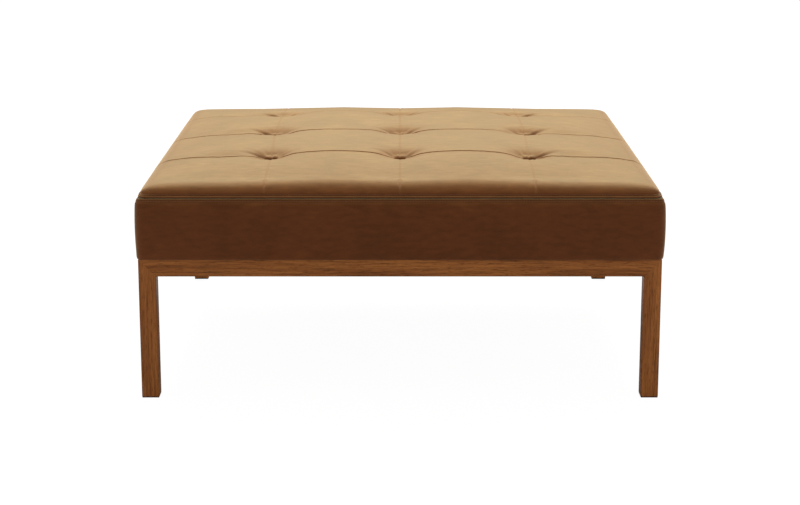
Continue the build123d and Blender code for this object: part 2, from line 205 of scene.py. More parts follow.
# 1 on a sewn line, falling to 0 halfway between two lines and at the edge
def seamPull(place, sharpness):
    outside = (footHalf - np.abs(place)) / (footHalf - tuftPitch)
    toLine = np.abs((place / tuftPitch + 0.5) % 1 - 0.5)
    pull = np.where(np.abs(place) > tuftPitch, outside, 1 - 2 * toLine)
    return np.clip(pull, 0, 1) ** sharpness


def lineDistance(place):
    return np.min(np.abs(place[..., None] - np.array(tuftLines)), axis=-1)


# How far inside the edge a place lies
def edgeSpace(x, y):
    return np.minimum(footHalf - np.abs(x), footHalf - np.abs(y))


# The same, but softly rounded where two edges meet
def edgeDistance(x, y):
    k = cushionTop["cornerBlend"]
    dx, dy = footHalf - np.abs(x), footHalf - np.abs(y)
    return np.maximum(-k * np.log(np.exp(-dx / k) + np.exp(-dy / k)), 0)


def crownHeight(x, y):
    c = cushionTop
    inward = edgeDistance(x, y)
    shareX, shareY = np.abs(x) / footHalf, np.abs(y) / footHalf
    rolled = np.sqrt(1 - (1 - np.minimum(inward / c["rollRun"], 1)) ** 2)
    domeX = 1 - np.minimum(shareX, 1) ** c["crownPower"][0]
    domeY = 1 - np.minimum(shareY, 1) ** c["crownPower"][1]
    middle = np.clip(1 - np.abs(y) / tuftPitch, 0, 1)
    sewn = np.maximum(c["seamDip"][0] * seamPull(x, c["dipPower"]), c["seamDip"][1] * middle)
    free = np.minimum(inward / c["dipStart"], 1)
    height = (seamHeight + c["rollFoot"] + c["rollRise"] * rolled
              + c["crownRise"] * domeX * domeY - sewn * free)
    outer = (np.clip((np.abs(x) - tuftPitch) / c["cornerReach"], 0, 1)
             * np.clip((np.abs(y) - tuftPitch) / c["cornerReach"], 0, 1))
    height -= c["cornerSink"] * outer * np.minimum(inward / c["cornerStart"], 1)
    forward = -np.sign(y) * shareY ** c["fillPower"][1] * (1 - shareX ** c["fillPower"][0])
    height += c["frontFill"] * forward * rolled
    height -= c["outerDip"] * (np.exp(-((np.abs(x) - c["outerDipPlace"]) / c["outerDipSize"][0]) ** 2)
                               * np.exp(-(lineDistance(y) / c["outerDipSize"][1]) ** 2))
    tufted = seamPull(x, c["arch"]) * seamPull(y, c["arch"])
    return height + (seamHeight + c["tuftHeight"] - height) * tufted * free


# A gather that runs out from a tuft, deepest at its reach
def pleat(x, y, turn, reach, width):
    along = x * math.cos(turn) + y * math.sin(turn)
    aside = -x * math.sin(turn) + y * math.cos(turn)
    spread = width + cushionTop["pleatSpread"] * np.maximum(along, 0)
    share = np.maximum(along, 0) / reach
    return np.exp(-(aside / spread) ** 2) * share * np.exp(1 - share)


# Relief of the sewn lines, and the painted shade in them near a tuft
def lineDetail(x, y, draw):
    c = cushionTop
    toLineX, toLineY = lineDistance(x), lineDistance(y)
    nearTuft = np.exp(-(np.hypot(toLineX, toLineY) / c["gatherReach"]) ** 2)
    gather = 1 + c["gather"] * nearTuft
    tight = np.where(y > tuftPitch / 2, c["backShare"] * gather ** 2, 1)
    tight = tight * np.clip((footHalf - np.abs(x)) / c["sideFade"], 0, 1) ** c["sideFadePower"]
    depths = (c["lineDepth"][0], c["lineDepth"][1] * tight)
    relief = np.zeros_like(x)
    kinds = zip((toLineX, toLineY), (y, x), depths, c["lineWidth"], c["lip"])
    for toLine, along, depth, width, lip in kinds:
        relief += lip * np.exp(-((toLine - c["lipPlace"]) / c["lipWidth"]) ** 2)
        relief -= depth * gather * np.exp(-(toLine / width) ** c["lineWall"])
        ripple = np.zeros_like(x)
        for step in range(c["ripples"]):
            wave = draw.uniform(*c["rippleLength"])
            ripple += np.sin(along * 2 * math.pi / wave + draw.uniform(0, phaseRange))
        beside = np.exp(-(toLine / c["rippleReach"]) ** 2) * (1 - np.exp(-(toLine / c["rippleStart"]) ** 2))
        relief += c["rippleDepth"] * ripple * beside
    onRoll = 1 - np.clip(edgeSpace(x, y) / c["rollPullReach"], 0, 1)
    pull = np.where(y > 0, c["rollPull"][1], c["rollPull"][0]) * onRoll
    relief -= pull * np.exp(-(toLineX / c["rollPullWidth"]) ** 2)
    return relief, c["lineShade"] * nearTuft * np.exp(-(toLineY / c["lineWidth"][1]) ** 2)


# Relief of one tuft, its gathers and folds, and the painted shade in its pit and folds
def tuftDetail(x, y, side, draw):
    c = cushionTop
    fromCentre = np.hypot(x, y)
    pit = np.hypot(x / c["pitRadius"][0], y / c["pitRadius"][1])
    relief = -c["pitDepth"] * np.exp(-pit ** c["pitWall"])
    relief += c["rimRise"] * np.exp(-((fromCentre - c["rimRadius"]) / c["rimWidth"]) ** 2)
    relief -= c["hollowDepth"] * np.exp(-(fromCentre / c["hollowRadius"]) ** 2)
    paintedShade = np.exp(-(pit / c["pitShade"][0]) ** c["pitShade"][1])
    for step in range(c["pleats"]):
        turn = 2 * math.pi * (step + draw.uniform(-c["pleatWander"], c["pleatWander"])) / c["pleats"]
        reach, strength = draw.uniform(*c["pleatReach"]), draw.uniform(*c["pleatStrength"])
        relief -= c["pleatDepth"] * strength * pleat(x, y, turn, reach, c["pleatWidth"])
    for way in (-1, 1):
        turn = math.radians(c["foldTurn"] + draw.uniform(-c["foldWander"], c["foldWander"]))
        kind = "middle" if side == 0 else "outward" if way * side > 0 else "inward"
        for backward, share in ((1, 1), (-1, c["frontFoldShare"])):
            angle = turn * backward if way > 0 else math.pi - turn * backward
            fold = c["foldShare"][kind] * share * pleat(x, y, angle, c["foldReach"], c["foldWidth"])
            relief -= c["foldDepth"] * fold
            paintedShade = paintedShade + c["foldShade"] * fold
    return relief, paintedShade


def sewnDetail(x, y, draw):
    relief, paintedShade = lineDetail(x, y, draw)
    for tuftX in tuftLines:
        for tuftY in tuftLines:
            more, moreShade = tuftDetail(x - tuftX, y - tuftY, tuftX, draw)
            relief, paintedShade = relief + more, paintedShade + moreShade
    fade = np.sqrt(np.clip(edgeSpace(x, y) / cushionTop["edgeFade"], 0, 1))
    return relief * fade, np.clip(paintedShade, 0, 1)


# How far the outer front-to-back lines are moved towards the middle, at the front
def drawnIn(x, y):
    inside = np.abs(x) / tuftPitch
    outside = (footHalf - np.abs(x)) / (footHalf - tuftPitch)
    return -np.sign(x) * np.minimum(inside, outside) * cushionTop["drawIn"] * np.clip(-y / tuftPitch, 0, 1)


def meshStations():
    c = cushionTop
    stations = set()
    for line in tuftLines:
        for step in c["besideLine"]:
            stations |= {line - step, line + step}
        for k in range(1, c["aroundTuftRows"] + 1):
            stations |= {line + side * (c["besideLine"][-1] + c["aroundTuft"] * k) for side in (-1, 1)}
    stations |= {side * (footHalf - e) for e in c["besideEdge"] for side in (-1, 1)}
    anchors = sorted(stations)
    filled = [anchors[0]]
    for low, high in zip(anchors, anchors[1:]):
        steps = max(1, round((high - low) / c["filling"])) if high - low > c["widest"] else 1
        filled += [low + (high - low) * (k + 1) / steps for k in range(steps)]
    return np.array(filled)


def roundCorners(x, y):
    r = cushionTop["planCorner"]
    core = footHalf - r
    s = np.clip((np.abs(x) - core) / r, 0, 1)
    t = np.clip((np.abs(y) - core) / r, 0, 1)
    inCorner = (s > 0) & (t > 0)
    newX = np.where(inCorner, np.sign(x) * (core + r * s * np.sqrt(1 - t * t / 2)), x)
    newY = np.where(inCorner, np.sign(y) * (core + r * t * np.sqrt(1 - s * s / 2)), y)
    return newX, newY


def outward(x, y, half):
    core = half - cushionTop["planCorner"]
    dx = np.sign(x) * np.maximum(np.abs(x) - core, 0)
    dy = np.sign(y) * np.maximum(np.abs(y) - core, 0)
    length = np.hypot(dx, dy)
    return dx / length, dy / length


def makeTopCover():
    draw = random.Random(cushionTop["seed"])
    stations = meshStations()
    n = len(stations)
    x, y = np.meshgrid(stations, stations, indexing="ij")
    relief, paintedShade = sewnDetail(x, y, draw)
    z = crownHeight(x, y) + relief
    x = x + drawnIn(x, y)
    x, y = roundCorners(x, y)
    points = [np.stack([x, y, z], axis=-1).reshape(-1, 3)]
    profile = cushionTop["lipProfile"]
    rim = ([i * n for i in range(n)] + [(n - 1) * n + j for j in range(1, n)]
           + [i * n + n - 1 for i in range(n - 2, -1, -1)] + list(range(n - 2, 0, -1)))
    rimX, rimY = x.reshape(-1)[rim], y.reshape(-1)[rim]
    normalX, normalY = outward(rimX, rimY, footHalf)
    for out, up in profile:
        ring = [rimX + normalX * out, rimY + normalY * out, np.full(len(rim), seamHeight + up)]
        points.append(np.stack(ring, axis=-1))
    points.append(np.array([[0, 0, seamHeight + profile[-1][1]]]))
    points = np.concatenate(points) * mm

    faces = []
    for i in range(n - 1):
        for j in range(n - 1):
            faces.append((i * n + j, (i + 1) * n + j, (i + 1) * n + j + 1, i * n + j + 1))
    count = len(rim)
    rings = [rim] + [[n * n + k * count + m for m in range(count)] for k in range(len(profile))]
    for upper, lower in zip(rings, rings[1:]):
        for m in range(count):
            after = (m + 1) % count
            faces.append((upper[m], lower[m], lower[after], upper[after]))
    centre = len(points) - 1
    last = rings[-1]
    faces += [(last[m], centre, last[(m + 1) % count]) for m in range(count)]
    cover = newPiece("velvet_top_cover", points, faces)
    # painted shade in the pits, folds and sewn lines, for the velvet's colour
    shade = np.zeros(len(points))
    shade[:n * n] = paintedShade.reshape(-1)
    storePaintedShade(cover, shade)
    return cover


topCover = makeTopCover()
print("top cover made,", len(topCover.data.vertices), "points")


# Velvet boxing round the sides

boxing = {
    "swell": 3.6,             # how far the sides swell past the seam, mm
    "swellPeakShare": 0.53,   # share of the height at which they swell most
    "swellReachShare": 0.62,
    "topTuck": 1.7,           # how far they draw in under the seam
    "topTuckShare": 0.15,
    "tuck": 0.9,              # how far the lower edge turns in
    "tuckShare": 0.05,
    "sideRings": ((0.93, 0.09, 24), (0.07, 0.0, 9)),      # from and to this share of the height, how many
    "turnUnder": 29.0,        # cloth turned in over the rail
    "turnSteps": (4, 10, 18),
    "clothThickness": 2.1,
    "railClearance": (0.1, 0.15),     # at the outside and the inside of the turned-in cloth
    "deckClearance": 0.4,
    "innerCorner": 6.0,       # a row of points lies this near to it
    "innerRise": (30, 70),    # rings up the inside, over the rail
    "innerTop": (-4.0, 3.0),  # and over the seam
    "wander": 0.175,          # unevenness of a hand-pulled cover
    "waves": 9,
    "waveLength": (60, 190),
    "waveLean": 2.0,
    "wanderFade": ((0.02, 8), (0.95, 12)),    # shares of the height at which it fades, and how fast
    "wanderInset": -4.0,      # cloth that lies further in doesn't wander
    "seamShade": 0.36,        # painted shade on the boxing just below the seam
    "seamReach": 9.0,
    "perSide": 170,           # points round the cushion
    "perCorner": 9,
    "tightCorner": 1.5,       # smallest radius of the inner rings
    # the narrow sewn welt, from its hidden top edge down: outward of the seam, height over the seam
    "weltProfile": [(-11.0, 2.1), (-8.6, 2.1), (-7.0, 2.0), (-5.2, 1.9), (-4.0, 1.7), (-3.0, 1.4),
                    (-2.2, 0.9), (-1.7, 0.1), (-1.4, -0.9), (-1.1, -2.0), (-0.7, -3.1),
                    (-0.25, -4.2), (0.25, -5.3), (0.75, -6.5)],
    "seed": 5,
}


# Places round the cushion, this far out of the seam, and the way outward at each
def ringPoints(out):
    corner = max(cushionTop["planCorner"] + out, boxing["tightCorner"])
    core = seamHalf + out - corner
    places, normals = [], []
    for quarter in range(4):
        turn = quarter * math.pi / 2
        along = (math.cos(turn), math.sin(turn))
        away = (math.sin(turn), -math.cos(turn))
        for step in range(boxing["perSide"]):
            t = (step / boxing["perSide"] * 2 - 1) * core
            side = seamHalf + out
            places.append((along[0] * t + away[0] * side, along[1] * t + away[1] * side))
            normals.append(away)
        for step in range(boxing["perCorner"]):
            bend = math.pi / 2 * step / boxing["perCorner"]
            way = (away[0] * math.cos(bend) + along[0] * math.sin(bend),
                   away[1] * math.cos(bend) + along[1] * math.sin(bend))
            centre = (along[0] * core + away[0] * core, along[1] * core + away[1] * core)
            places.append((centre[0] + way[0] * corner, centre[1] + way[1] * corner))
            normals.append(way)
    return np.array(places), np.array(normals)


def boxingOut(share):
    b = boxing
    swell = b["swell"] * (1 - ((share - b["swellPeakShare"]) / b["swellReachShare"]) ** 2)
    upper = max(0, (share - 1 + b["topTuckShare"]) / b["topTuckShare"]) ** 2
    lower = max(0, 1 - share / b["tuckShare"]) ** 2
    return swell - b["topTuck"] * upper - b["tuck"] * lower


# Rings of the boxing, down the outside, under, and up the inside: outward of the seam, height
def boxingRings(height):
    b = boxing
    outerGap, innerGap = b["railClearance"]
    rings = [(out, seamHeight + up) for out, up in b["weltProfile"]]
    for high, low, count in b["sideRings"]:
        rings += [(boxingOut(share), railTop + max(height * share, outerGap))
                  for share in np.linspace(high, low, count)]
    rings += [(-b["tuck"] - step, railTop + outerGap) for step in b["turnSteps"]]
    clothTop = railTop + b["clothThickness"]
    rings += [(-b["turnUnder"], railTop + innerGap), (-b["turnUnder"], clothTop)]
    inner = seatHalf - seamHalf + b["deckClearance"]
    rings += [(inner - b["innerCorner"], clothTop), (inner, clothTop + outerGap)]
    rings += [(inner, railTop + rise) for rise in b["innerRise"]]
    rings += [(inner, seamHeight + rise) for rise in b["innerTop"]]
    return rings


def makeBoxing():
    draw = random.Random(boxing["seed"])
    b = boxing
    height = seamHeight - railTop
    wayRound = 8 * seamHalf
    rings = boxingRings(height)
    (low, lowRate), (high, highRate) = b["wanderFade"]
    points, faces, shade = [], [], []
    waves = [(draw.uniform(*b["waveLength"]), draw.uniform(0, phaseRange), draw.uniform(-1, 1))
             for step in range(b["waves"])]
    for out, z in rings:
        places, normals = ringPoints(out)
        count = len(places)
        around = np.arange(count) / count * 2 * math.pi
        share = (z - railTop) / height
        fade = max(0, min(1, (share - low) * lowRate, (high - share) * highRate))
        free = fade if out > b["wanderInset"] else 0
        ripple = np.zeros(count)
        for wave, phase, lean in waves:
            turns = round(wayRound / wave)
            ripple += np.sin(around * turns + phase + lean * share * b["waveLean"])
        places = places + normals * (ripple * b["wander"] * free)[:, None]
        points.append(np.column_stack([places, np.full(count, z)]))
        # painted shade just below the seam
        shade += [b["seamShade"] * math.exp(-((seamHeight - z) / b["seamReach"]) ** 2)] * count
    total = len(rings)
    for k in range(total):
        for m in range(count):
            after = (m + 1) % count
            upper, lower = k * count, ((k + 1) % total) * count
            faces.append((upper + m, lower + m, lower + after, upper + after))
    cover = newPiece("velvet_boxing", np.concatenate(points) * mm, faces)
    storePaintedShade(cover, shade)
    return cover


boxingCover = makeBoxing()
print("boxing made,", len(boxingCover.data.vertices), "points")


# Threads: a tube along a spine, used for the stitches and the twines

def addTube(points, faces, spine, sideWays, radius, sides):
    base, last = len(points), len(spine) - 1
    for here, (side, other) in zip(spine, sideWays):
        for corner in range(sides):
            turn = corner * 2 * math.pi / sides
            points.append(here + (side * math.cos(turn) + other * math.sin(turn)) * radius)
    for ring in range(last):
        low = base + ring * sides
        for corner in range(sides):
            after = (corner + 1) % sides
            faces.append((low + corner, low + after, low + sides + after, low + sides + corner))
    faces.append(tuple(base + corner for corner in range(sides - 1, -1, -1)))
    faces.append(tuple(base + last * sides + corner for corner in range(sides)))


# Topstitching in two rows beside the seam

stitching = {
    "pitch": 5.2,             # one stitch and its gap, mm
    "length": 3.9,
    "thread": 0.42,           # radius of the thread
    "threadSides": 6,
    # shares of the stitch, and how deep the thread lies there
    "dive": ((0, 0.75), (0.12, 0.1), (0.5, -0.1), (0.88, 0.1), (1, 0.75)),
    # name, height over the seam, outward of the seam
    "rows": [("topstitch_upper", 9.9, -6.55), ("topstitch_lower", -2.4, -0.65)],
}


def makeStitches(name, up, out):
    s = stitching
    places = ringPoints(out)[0]
    loop = np.vstack([places, places[:1]])
    lengths = np.hypot(*np.diff(loop, axis=0).T)
    travelled = np.concatenate([[0], np.cumsum(lengths)])
    count = round(travelled[-1] / s["pitch"])
    points, faces = [], []
    upward = np.array([0.0, 0.0, 1.0])
    for k in range(count):
        start = travelled[-1] * k / count
        spine, sideWays = [], []
        for share, depth in s["dive"]:
            where = (start + s["length"] * share) % travelled[-1]
            px, py = np.interp(where, travelled, loop[:, 0]), np.interp(where, travelled, loop[:, 1])
            way = np.array([*outward(px, py, seamHalf), 0.0])
            spine.append(np.array([px, py, seamHeight + up]) - way * depth)
            sideWays.append((way, upward))
        addTube(points, faces, spine, sideWays, s["thread"], s["threadSides"])
    return newPiece(name, np.array(points) * mm, faces)


stitchRows = [makeStitches(*row) for row in stitching["rows"]]
print("stitches made")


# Tufting twines: two strands laid together, from under each tuft to a knot under its washer

twines = {
    "strand": 0.62,           # radius of one strand, mm
    "strandSides": 6,
    "spread": 0.6,            # of the strands from the line between them
    "lay": 9.0,               # height of one full turn
    "belowPit": 1.5,          # the upper end lies this far under the bottom of the tuft
    "steps": 60,
    "knotRadius": 2.9,
    "knotRise": 1.4,
    "knotThread": 1.05,
    "knotSides": 8,
    "knotSteps": 44,
    "pitProbe": 3.0,          # the bottom of a tuft is looked for this near to its middle
}


# For each point of a spine, two ways across it that turn with it
def waysAcross(spine):
    last = len(spine) - 1
    side = None
    ways = []
    for k in range(last + 1):
        way = (spine[min(k + 1, last)] - spine[max(k - 1, 0)]).normalized()
        side = way.orthogonal() if side is None else side - way * side.dot(way)
        side = side.normalized()
        ways.append((side, way.cross(side)))
    return ways


def strandSpine(foot, head, strand):
    t = twines
    turns = (head.z - foot.z) / t["lay"]
    spine = []
    for k in range(t["steps"] + 1):
        turn = 2 * math.pi * turns * k / t["steps"] + strand * math.pi
        aside = Vector((math.cos(turn), math.sin(turn), 0)) * t["spread"]
        spine.append(foot.lerp(head, k / t["steps"]) + aside)
    return spine


# A trefoil, left open at one place for its two ends
def knotSpine(foot):
    t = twines
    size = t["knotRadius"] / 3
    spine = []
    for k in range(1, t["knotSteps"]):
        turn = 2 * math.pi * k / t["knotSteps"]
        spine.append(foot + Vector(((math.sin(turn) + 2 * math.sin(2 * turn)) * size,
                                    (math.cos(turn) - 2 * math.cos(2 * turn)) * size,
                                    -math.sin(3 * turn) * t["knotRise"])))
    return spine


def makeTwines():
    t = twines
    points, faces = [], []
    middle = [v.co.z / mm for v in topCover.data.vertices
              if math.hypot(v.co.x, v.co.y) < t["pitProbe"] * mm]
    pitBottom = min(z for z in middle if z > seamHeight + cushionTop["rollFoot"])
    knotLevel = twineLow.z / mm + t["knotRise"] + t["knotThread"]
    for tuftX in tuftLines:
        for tuftY in tuftLines:
            foot = Vector((tuftX, tuftY, knotLevel))
            head = Vector((tuftX + float(drawnIn(tuftX, tuftY)), tuftY, pitBottom - t["belowPit"]))
            for strand in (0, 1):
                spine = strandSpine(foot, head, strand)
                addTube(points, faces, spine, waysAcross(spine), t["strand"], t["strandSides"])
            knot = knotSpine(foot)
            addTube(points, faces, knot, waysAcross(knot), t["knotThread"], t["knotSides"])
    print("  tufts go down to", round(pitBottom - seamHeight, 1), "mm over the seam")
    return newPiece("tufting_twine_strands", [p * mm for p in points], faces)


twineStrands = makeTwines()
print("twines made")


# Dust cloth under the seat, with its staples

dustCloth = {
    "sag": 0.32,              # between the staples and the bolts, mm
    "flatEdge": 4,            # how much of the edge stays flat
    "crease": 0.1,
    "creaseLength": (37.0, 53.0),
    "creaseBend": 1.3,
    "creaseBendLength": 91.0,
    "creaseShift": 0.8,
    "spacing": 12.0,
    "thickness": 0.35,
    "topGap": 0.45,           # under the top of the solid cover that it replaces
}

stapling = {
    "pitch": 47.0,            # mm
    "crown": 10.0,
    "leg": 1.4,
    "bend": (0.4, 0.1),
    "wire": 0.45,
    "inset": 9.0,             # from the edge of the cloth
    "gap": 0.1,
    "wander": 3.0,
    "tilt": 0.12,
    "seed": 3,
}


def makeDustCloth():
    d = dustCloth
    half = dustHigh.x / mm
    level = dustHigh.z / mm - d["topGap"]
    n = round(2 * half / d["spacing"]) + 1
    stations = np.linspace(-half, half, n)
    x, y = np.meshgrid(stations, stations, indexing="ij")
    inner = (1 - (x / half) ** d["flatEdge"]) * (1 - (y / half) ** d["flatEdge"])
    bent = d["creaseBend"] * np.sin(y / d["creaseBendLength"])
    crease = np.sin(x / d["creaseLength"][0] + bent) * np.sin(y / d["creaseLength"][1] + d["creaseShift"])
    z = level - (d["sag"] + d["crease"] * crease) * inner
    points = np.stack([x, y, z], axis=-1).reshape(-1, 3) * mm
    faces = []
    for i in range(n - 1):
        for j in range(n - 1):
            faces.append((i * n + j, i * n + j + 1, (i + 1) * n + j + 1, (i + 1) * n + j))
    cloth = newPiece("dust_cloth", points, faces)
    solid = cloth.modifiers.new("thickness", "SOLIDIFY")
    solid.thickness = d["thickness"] * mm
    solid.offset = -1
    return cloth, 2 * half * mm, level


def makeStaples(level):
    s = stapling
    half = dustHigh.x / mm - s["inset"]
    draw = random.Random(s["seed"])
    count = round(2 * half / s["pitch"])
    points, faces = [], []
    low = level - dustCloth["thickness"] - s["wire"] - s["gap"]
    end = s["crown"] / 2
    bendIn, bendUp = s["bend"]
    spine = [(-end, s["leg"]), (-end, bendUp), (bendIn - end, 0), (end - bendIn, 0), (end, bendUp),
             (end, s["leg"])]
    for quarter in range(4):
        turn = quarter * math.pi / 2
        for k in range(count):
            along = (k + 0.5) / count * 2 * half - half + draw.uniform(-s["wander"], s["wander"])
            tilt = draw.uniform(-s["tilt"], s["tilt"])
            base = len(points)
            for place, up in spine:
                for a, b in ((-1, -1), (1, -1), (1, 1), (-1, 1)):
                    px = along + place * math.cos(tilt) - a * s["wire"] * math.sin(tilt)
                    py = -half + place * math.sin(tilt) + a * s["wire"] * math.cos(tilt)
                    points.append((px * math.cos(turn) - py * math.sin(turn),
                                   px * math.sin(turn) + py * math.cos(turn), low + up + b * s["wire"]))
            for ring in range(len(spine) - 1):
                for c in range(4):
                    after = (c + 1) % 4
                    here = base + ring * 4
                    faces.append((here + c, here + 4 + c, here + 4 + after, here + after))
            faces.append((base, base + 1, base + 2, base + 3))
            last = base + (len(spine) - 1) * 4
            faces.append((last + 3, last + 2, last + 1, last))
    return newPiece("dust_cloth_staples", np.array(points) * mm, faces, smooth=False)


dustSheet, dustSide, dustLevel = makeDustCloth()
staples = makeStaples(dustLevel)
print("dust cloth and staples made")


# Materials, with the sizes of their patterns in mm

noiseSpan = (0.3, 0.7)        # most of a noise texture's values lie between these


# Two tones in patches of one size: gives the colour and the pattern
def twoTone(tree, kind, patch, tones, inputs={}):
    place = addNode(tree, "ShaderNodeTexCoord").outputs["Object"]
    pattern = addNode(tree, kind, {}, {"Vector": place, "Scale": 1 / (patch * mm), **inputs}).outputs[0]
    first, second = [hexToLinear(tone) for tone in tones]
    colour = addNode(tree, "ShaderNodeMix", {"data_type": "RGBA"}, {0: pattern, 6: first, 7: second})
    return colour.outputs[2], pattern


# A noise drawn out along x, by width and length
def drawnOut(tree, place, size, detail=2.0, roughness=0.5):
    width, length = size
    scales = (1 / (length * mm), 1 / (width * mm), 1 / (width * mm))
    scaled = addNode(tree, "ShaderNodeMapping", {}, {"Vector": place, "Scale": scales}).outputs[0]
    return addNode(tree, "ShaderNodeTexNoise", {}, {"Vector": scaled, "Scale": 1.0, "Detail": detail,
                                                    "Roughness": roughness}).outputs[0]


# Draws patterns over a colour in a darker one, each from and to these values, and this dark
def drawOver(tree, base, dark, layers):
    for pattern, (low, high, shade) in layers:
        amount = addNode(tree, "ShaderNodeMapRange", {}, [pattern, low, high, 0, shade]).outputs[0]
        base = addNode(tree, "ShaderNodeMix", {"data_type": "RGBA"},
                       {0: amount, 6: base, 7: hexToLinear(dark)}).outputs[2]
    return base


velvet = {
    # colour by how the surface faces, from the upright sides to the top: partly the pile's own direction,
    # partly painted shade on the sides and painted light on the top
    "napAndPaintedShade": [(0.0, "#6b3a1d"), (0.24, "#72401f"), (0.5, "#86512a"), (0.8, "#935f33"),
             (0.965, "#9b6e3d"), (1.0, "#a98554")],
    "paintedShadeTint": "#958a70",     # colour of the painted shade in the pits, folds and creases
    "patch": 111.1,           # handled patches
    "mottle": 0.09,
    "stroke": (9.524, 29.41),     # strokes of the brush, width and length
    "streak": 0.15,
    "pile": 1.2,              # tufts of the pile: real ones are 0.3, too fine for the render
    "grain": 0.05,
    "relief": 0.4,
    "reliefStrength": 0.35,
    "roughness": 0.9,
    "specular": 0.1,
    "sheen": 1.0,
    "sheenRoughness": 0.45,
    "sheenTint": "#f1d6aa",
}


def cottonVelvet():
    # Woven cotton pile, cut and brushed: matt, with a soft light sheen. Its colour is painted darker and
    # redder on the upright sides and lighter on the top, partly the pile's own direction and partly painted
    # shade and light, with painted shade in pits, folds and creases.
    material, tree, shader = newMaterial("brushed cotton velvet, camel")
    v = velvet
    place = addNode(tree, "ShaderNodeTexCoord").outputs["Object"]
    patches = addNode(tree, "ShaderNodeTexNoise", {},
                      {"Vector": place, "Scale": 1 / (v["patch"] * mm), "Detail": 3.0, "Roughness": 0.6})
    strokes = drawnOut(tree, place, v["stroke"], detail=4.0, roughness=0.6)
    pile = addNode(tree, "ShaderNodeTexNoise", {},
                   {"Vector": place, "Scale": 1 / (v["pile"] * mm), "Roughness": 0.7})
    normal = addNode(tree, "ShaderNodeNewGeometry").outputs["Normal"]
    upward = addNode(tree, "ShaderNodeSeparateXYZ", {}, [normal]).outputs["Z"]
    # painted shade and light by facing: darker on the upright sides, lighter on the top, partly the pile's
    # own direction
    napAndPaintedShade = addNode(tree, "ShaderNodeValToRGB", {}, [upward])
    while len(napAndPaintedShade.color_ramp.elements) < len(v["napAndPaintedShade"]):
        napAndPaintedShade.color_ramp.elements.new(0.5)
    for stop, (share, colour) in zip(napAndPaintedShade.color_ramp.elements, v["napAndPaintedShade"]):
        stop.position, stop.color = share, hexToLinear(colour)
    # painted shade in the pits, folds and creases, stored with each piece
    paintedShade = addNode(tree, "ShaderNodeAttribute", {"attribute_name": "paintedShade"}).outputs["Fac"]
    base = addNode(tree, "ShaderNodeMix", {"data_type": "RGBA", "blend_type": "MULTIPLY"},
                   {0: paintedShade, 6: napAndPaintedShade.outputs[0], 7: hexToLinear(v["paintedShadeTint"])}).outputs[2]
    layers = ((patches.outputs[0], v["mottle"]), (strokes, v["streak"]), (pile.outputs[0], v["grain"]))
    for pattern, amount in layers:
        tone = addNode(tree, "ShaderNodeMapRange", {}, [pattern, *noiseSpan, 1 - amount, 1 + amount])
        base = addNode(tree, "ShaderNodeVectorMath", {"operation": "SCALE"},
                       {0: base, "Scale": tone.outputs[0]}).outputs[0]
    bump = addNode(tree, "ShaderNodeBump", {},
                   {"Strength": v["reliefStrength"], "Distance": v["relief"] * mm,
                    "Height": pile.outputs[0]})
    setInputs(tree, shader, {"Base Color": base, "Normal": bump.outputs[0], "Roughness": v["roughness"],
                             "Specular IOR Level": v["specular"], "Sheen Weight": v["sheen"],
                             "Sheen Roughness": v["sheenRoughness"],
                             "Sheen Tint": hexToLinear(v["sheenTint"])})
    return material


# Coordinates of a board whose grain runs along x, y or z of the part
def boardPlaces(tree, along, shift):
    turn = {"x": (0, 0, 0), "y": (0, 0, -math.pi / 2), "z": (0, math.pi / 2, 0)}[along]
    place = addNode(tree, "ShaderNodeTexCoord").outputs["Object"]
    return addNode(tree, "ShaderNodeMapping", {},
                   {"Vector": place, "Rotation": turn, "Location": shift}).outputs[0]


# The scale that sets the rings of a wave texture this far apart: by itself it has 20 in 2 pi units
def ringScale(spacing):
    return 2 * math.pi / (20 * spacing * mm)


walnut = {
    "light": "#bf7639",
    "middle": "#975727",
    "dark": "#2c1205",
    "tone": (22, 260),        # slow changes from red to brown, width and length
    "streak": (2.6, 90.0),    # dark mineral streaks
    "pore": (1.3, 16.0),      # real pores are 0.2 wide: drawn as coarse as the render needs
    "ringSpacing": 8.0,       # growth rings
    "ringWander": 50.0,
    "ringWanderSize": 200.0,
    "ringShade": (0.2, 1.0, 0.22),        # drawn from and to these values of the pattern, and this dark
    "streakShade": (0.5, 0.75, 0.65),
    "poreShade": (0.56, 0.7, 0.6),
    "relief": 0.3,
    "reliefStrength": 0.25,
    "poreSpan": (0.4, 0.7),   # over which the wood goes from satin to matt
    "roughness": (0.37, 0.62),
    "specular": 0.16,         # the oil lies in the wood, not on it
    "legSeed": 20,
    "railSeed": 40,
}


